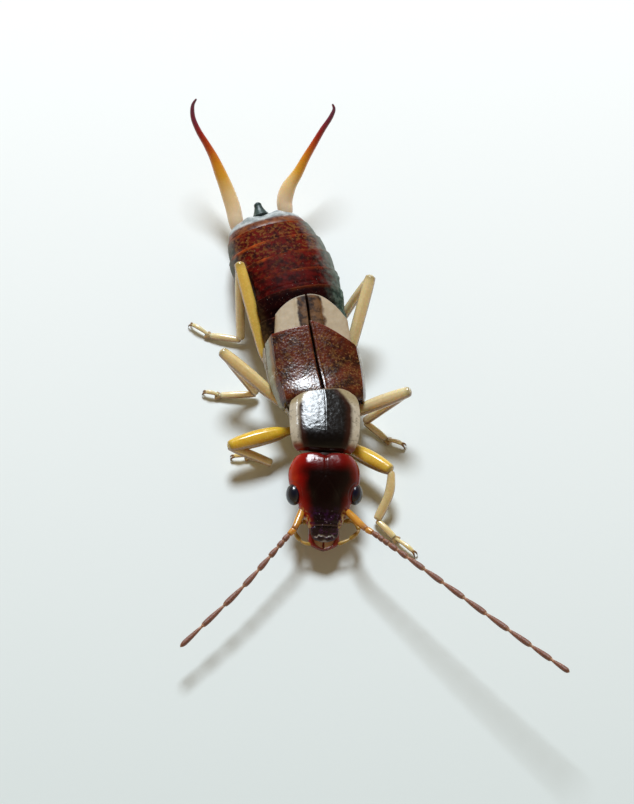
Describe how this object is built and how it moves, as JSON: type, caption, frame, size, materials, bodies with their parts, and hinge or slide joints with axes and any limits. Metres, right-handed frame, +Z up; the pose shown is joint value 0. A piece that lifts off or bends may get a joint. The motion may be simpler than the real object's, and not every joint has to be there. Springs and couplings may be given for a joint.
{
  "type": "earwig",
  "caption": "Life-size still model of a female common earwig, standing on six feet with its forceps raised and its feelers spread forward.",
  "frame": {"origin": "middle of the bounding box's footprint, on the floor the feet stand on", "axes": "+Z up, the head looks along -Y and the forceps point along +Y, the animal's left is towards +X"},
  "size_m": [0.0112, 0.0204, 0.0029],
  "materials": {
    "head": "glossy, deep red with a nearly black middle",
    "eye": "glossy blue-black with fine facets",
    "mouth": "glossy dark red",
    "palp": "satin golden",
    "antenna_base": "glossy amber",
    "antenna": "satin brown, finely haired",
    "pronotum": "glossy black with pale clear side margins",
    "thorax": "satin pale brown",
    "tegmen": "satin dark chestnut, finely grained, with pale sides",
    "wing": "satin cream with a brown inner strip",
    "abdomen": "glossy dark maroon with orange-red bands",
    "tail": "satin grey over dark maroon",
    "forceps": "glossy, cream at the base to dark red-brown at the tip",
    "leg": "glossy straw yellow"
  },
  "bodies": {
    "root": {"abdomen_last_ring": "tail", "abdomen_ring_1": "abdomen", "abdomen_ring_2": "abdomen", "abdomen_ring_3": "abdomen", "abdomen_ring_4": "abdomen", "abdomen_ring_5": "abdomen", "abdomen_ring_6": "abdomen", "antenna_left_flagellum": "antenna", "antenna_left_scape": "antenna_base", "antenna_right_flagellum": "antenna", "antenna_right_scape": "antenna_base", "eye_left": "eye", "eye_right": "eye", "forceps_left": "forceps", "forceps_right": "forceps", "head": "head", "labrum": "mouth", "leg_fore_left_coxa": "leg", "leg_fore_left_femur": "leg", "leg_fore_left_tarsus": "leg", "leg_fore_left_tibia": "leg", "leg_fore_right_coxa": "leg", "leg_fore_right_femur": "leg", "leg_fore_right_tarsus": "leg", "leg_fore_right_tibia": "leg", "leg_hind_left_coxa": "leg", "leg_hind_left_femur": "leg", "leg_hind_left_tarsus": "leg", "leg_hind_left_tibia": "leg", "leg_hind_right_coxa": "leg", "leg_hind_right_femur": "leg", "leg_hind_right_tarsus": "leg", "leg_hind_right_tibia": "leg", "leg_mid_left_coxa": "leg", "leg_mid_left_femur": "leg", "leg_mid_left_tarsus": "leg", "leg_mid_left_tibia": "leg", "leg_mid_right_coxa": "leg", "leg_mid_right_femur": "leg", "leg_mid_right_tarsus": "leg", "leg_mid_right_tibia": "leg", "mandible_left": "mouth", "mandible_right": "mouth", "mesothorax": "thorax", "metathorax": "thorax", "neck": "thorax", "palp_left": "palp", "palp_right": "palp", "pronotum": "pronotum", "prothorax": "thorax", "pygidium": "tail", "tegmen_left": "tegmen", "tegmen_right": "tegmen", "wing_left": "wing", "wing_right": "wing"}
  },
  "joints": []
}
